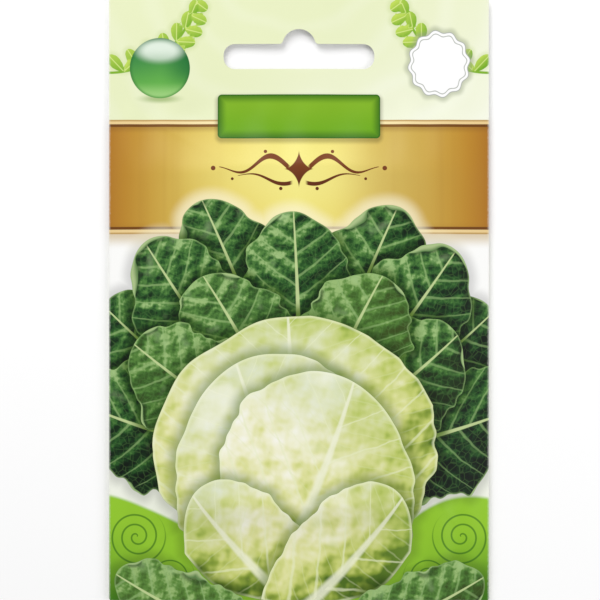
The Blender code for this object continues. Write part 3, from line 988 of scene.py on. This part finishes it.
def front_finish():
    """The printed front."""
    finish = Finish("printed_front", specular_ior_level=0.2)
    place = finish.place()
    x, y, _ = place.split()
    header = twig_print(finish, header_print(finish, x, y, place), x, y)
    lower = meadow_print(finish, x, y, place)
    colour = finish.blend(lower, header, y.step(BAND_BOTTOM + 2, BAND_BOTTOM + 3))
    for layer in (band_print, plate_print, disc_print, rosette_print):
        colour = layer(finish, colour, x, y)
    colour = picture_print(finish, colour, x, y, finish.noise(place, 0.22, 2.0))
    colour = finish.tint(colour, PRINT_DEPTH)

    worn = finish.noise(place, 1.3, 4.0, 0.7)
    edge = frayed(abs(x), worn, 40.55, 40.95).most(frayed(abs(y), worn, 64.6, 64.95))
    colour = colour.coat(246, 246, 240, edge * 0.35)
    roughness = 0.36 + (worn - 0.5) * 0.10 + edge * 0.2
    fibre = finish.noise(place, 3.5, 3.0, 0.6)
    return finish.done(colour, roughness, fibre + worn * 0.6, 0.05, 0.0001)


def calendar_print(finish, colour, x, y):
    """A planting calendar of plain boxes, some of them filled, and ruled lines under it."""
    column, line = x / BOX_WIDTH, (y - CALENDAR_LOW) / BOX_HEIGHT
    area = abs(x).step(CALENDAR_REACH + 0.05, CALENDAR_REACH - 0.05)
    area = area * rule(y, CALENDAR_LOW, 3 * BOX_HEIGHT)
    filled = finish.noise(finish.joined(column.floor(), line.floor()), 0.83, 0.0)
    colour = colour.coat(140, 190, 60, area * filled.step(0.515, 0.522))
    walls = abs(column.part() - 0.5).step(0.475, 0.485).most(abs(line.part() - 0.5).step(0.47, 0.482))
    colour = colour.coat(70, 96, 40, area * walls * 0.8)

    ruled = (abs((y / RULED_PITCH).part() - 0.5) * RULED_PITCH).step(0.16, 0.08)
    ruled = ruled * abs(x).step(CALENDAR_REACH, CALENDAR_REACH - 0.1)
    return colour.coat(132, 150, 104, ruled * rule(y, RULED_LOW, RULED_HEIGHT) * 0.8)


def sign_print(colour, x, y):
    """Three round signs in a row under the ruled lines: a seedling, a drop and a sun."""
    rise = y - SIGN_Y
    seedling, drop, sun = [x - centre for centre in (-SIGN_PITCH, 0.0, SIGN_PITCH)]
    for right in (seedling, drop, sun):
        out = distance(right, rise)
        colour = colour.coat(110, 168, 44, out.step(SIGN_RADIUS + 0.05, SIGN_RADIUS - 0.05))
        colour = colour.coat(214, 230, 160, abs(out - 4.35).step(0.16, 0.08))

    out = distance(sun, rise)
    rays = (rise.angle(sun) * 8).sine().step(0.15, 0.4) * abs(out - 3.0).step(0.62, 0.52)
    mark = out.step(1.85, 1.75).most(rays)

    width = 2.1 * (1 - (rise / 3.5).most(0.0)).most(0.0) ** 1.2
    mark = mark.most((distance(drop, rise.least(0.0)) - width).step(0.06, -0.06))

    stem = abs(seedling).step(0.28, 0.18) * abs(rise + 0.6).step(1.85, 1.75)
    ground = abs(rise + 2.4).step(0.28, 0.18) * abs(seedling).step(2.9, 2.8)
    u, v = abs(seedling) - 1.25, rise - 1.7
    along, across = u * 0.85 + v * 0.53, v * 0.85 - u * 0.53
    leaf = (along * along / 2.2 + across * across / 0.5).step(1.05, 0.95)
    mark = mark.most(stem).most(ground).most(leaf)
    return colour.coat(250, 252, 240, mark)


def back_finish():
    """The printed back: the same band, with the calendar, the lines and the signs below it."""
    finish = Finish("printed_back", specular_ior_level=0.2)
    place = finish.place()
    x, y, _ = place.split()
    wash = finish.noise(place, 0.05, 2.0)
    colour = finish.blend(paint(232, 239, 204), paint(249, 251, 238), (wash + y * 0.004).step(0.3, 0.7))
    colour = band_print(finish, colour, x, y)
    colour = calendar_print(finish, colour, x, y)
    colour = sign_print(colour, x, y)

    worn = finish.noise(place, 1.3, 4.0, 0.7)
    edge = frayed(abs(x), worn, 40.55, 40.95)
    colour = finish.tint(colour.coat(246, 246, 240, edge * 0.5), PRINT_DEPTH)
    fibre = finish.noise(place, 3.5, 3.0, 0.6)
    return finish.done(colour, 0.42 + (worn - 0.5) * 0.10, fibre, 0.05, 0.0001)


def inside_finish():
    """Bare paper: the cut edges and the inside of the packet."""
    finish = Finish("bare_paper")
    fibre = finish.noise(finish.place(), 2.4, 5.0, 0.65)
    colour = finish.blend(paint(232, 231, 224), paint(250, 249, 245), fibre.step(0.3, 0.7))
    return finish.done(colour, 0.7 + fibre * 0.2, fibre, 0.2, 0.0001)


def foil_finish():
    """Foil-lined film with the crimped rim's fine ribs."""
    finish = Finish("foil_film", metallic=0.85)
    place = finish.place()
    x, y, _ = place.split()
    crumple = finish.noise(place, 0.18, 5.0, 0.6)
    rim = abs(x).step(25.3, 25.6).most(y.step(27.3, 27.6))
    ribs = (y * 6.2).sine() * rim
    # Painted shade and light: the foil is darker in the crumples' hollows and lighter on their crests,
    # where the bump puts them
    colour = finish.blend(paint(186, 188, 190), paint(222, 224, 226), crumple.step(0.3, 0.7))
    return finish.done(colour, 0.30 + crumple * 0.2, crumple + ribs * 0.15, 0.6, 0.0004)


def seed_finish():
    """Dark seed coats with a fine net."""
    finish = Finish("seed_coat")
    place = finish.place()
    tone = finish.noise(place, 0.9, 3.0)
    net = finish.cells(place, 4.5)
    colour = finish.blend(paint(58, 36, 24), paint(112, 76, 50), tone.step(0.35, 0.7))
    colour = colour.coat(36, 22, 16, net.step(0.12, 0.0))
    return finish.done(colour, 0.5 + tone * 0.2, net, 0.4, 0.00005)


def add_stage():
    """The pale floor, just under the packet."""
    shape = bmesh.new()
    bmesh.ops.create_grid(shape, x_segments=4, y_segments=4, size=3.0)
    mesh = bpy.data.meshes.new("floor")
    shape.to_mesh(mesh)
    shape.free()
    floor = add_piece("floor", mesh)
    floor.location.z = -0.02 * MM
    white = (0.98, 0.98, 0.98, 1)
    finish = Finish("pale_floor", roughness=0.9, base_color=white, specular_ior_level=0.0)
    mesh.materials.append(finish.material)
    floor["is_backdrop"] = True


def add_light(name, place, size, power):
    """A square soft light that looks at the packet."""
    data = bpy.data.lights.new(name, "AREA")
    data.shape = "SQUARE"
    data.size = size
    data.energy = power
    light = bpy.data.objects.new(name, data)
    bpy.context.scene.collection.objects.link(light)
    light.location = place
    light.rotation_euler = (-Vector(place)).to_track_quat("-Z", "Y").to_euler()


def add_view():
    """Soft studio light from above the header, and a camera that looks straight down."""
    world = bpy.data.worlds.new("studio")
    bpy.context.scene.world = world
    world.use_nodes = True
    background = world.node_tree.nodes["Background"]
    background.inputs["Color"].default_value = (1, 1, 1, 1)
    background.inputs["Strength"].default_value = 0.47
    add_light("key", (-0.18, 0.42, 0.40), 0.45, 2.62)
    add_light("fill", (0.42, -0.10, 0.38), 0.40, 0.98)
    bpy.context.scene.view_settings.view_transform = "Standard"
    data = bpy.data.cameras.new("camera")
    data.lens = 100
    data.sensor_width = 36
    camera = bpy.data.objects.new("camera", data)
    bpy.context.scene.collection.objects.link(camera)
    camera.location = (0.00022, 0, 0.3608)
    bpy.context.scene.camera = camera


def main():
    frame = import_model()
    cad_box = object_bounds()
    sheet = build_sheet([front_finish(), back_finish(), inside_finish(), inside_finish()])
    lay_out_print(sheet.data)
    print_fields(sheet.data)
    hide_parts("packet_paper")
    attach(sheet, "root")
    for node, finish in (("inner_sachet", foil_finish()), ("seeds", seed_finish())):
        mesh = frame["nodes"][node].data
        mesh.materials.clear()
        mesh.materials.append(finish)
    add_stage()
    add_view()
    boxes = {"cad": cad_box, "scene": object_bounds()}
    boxes = {name: [list(corner) for corner in box] for name, box in boxes.items()}


main()
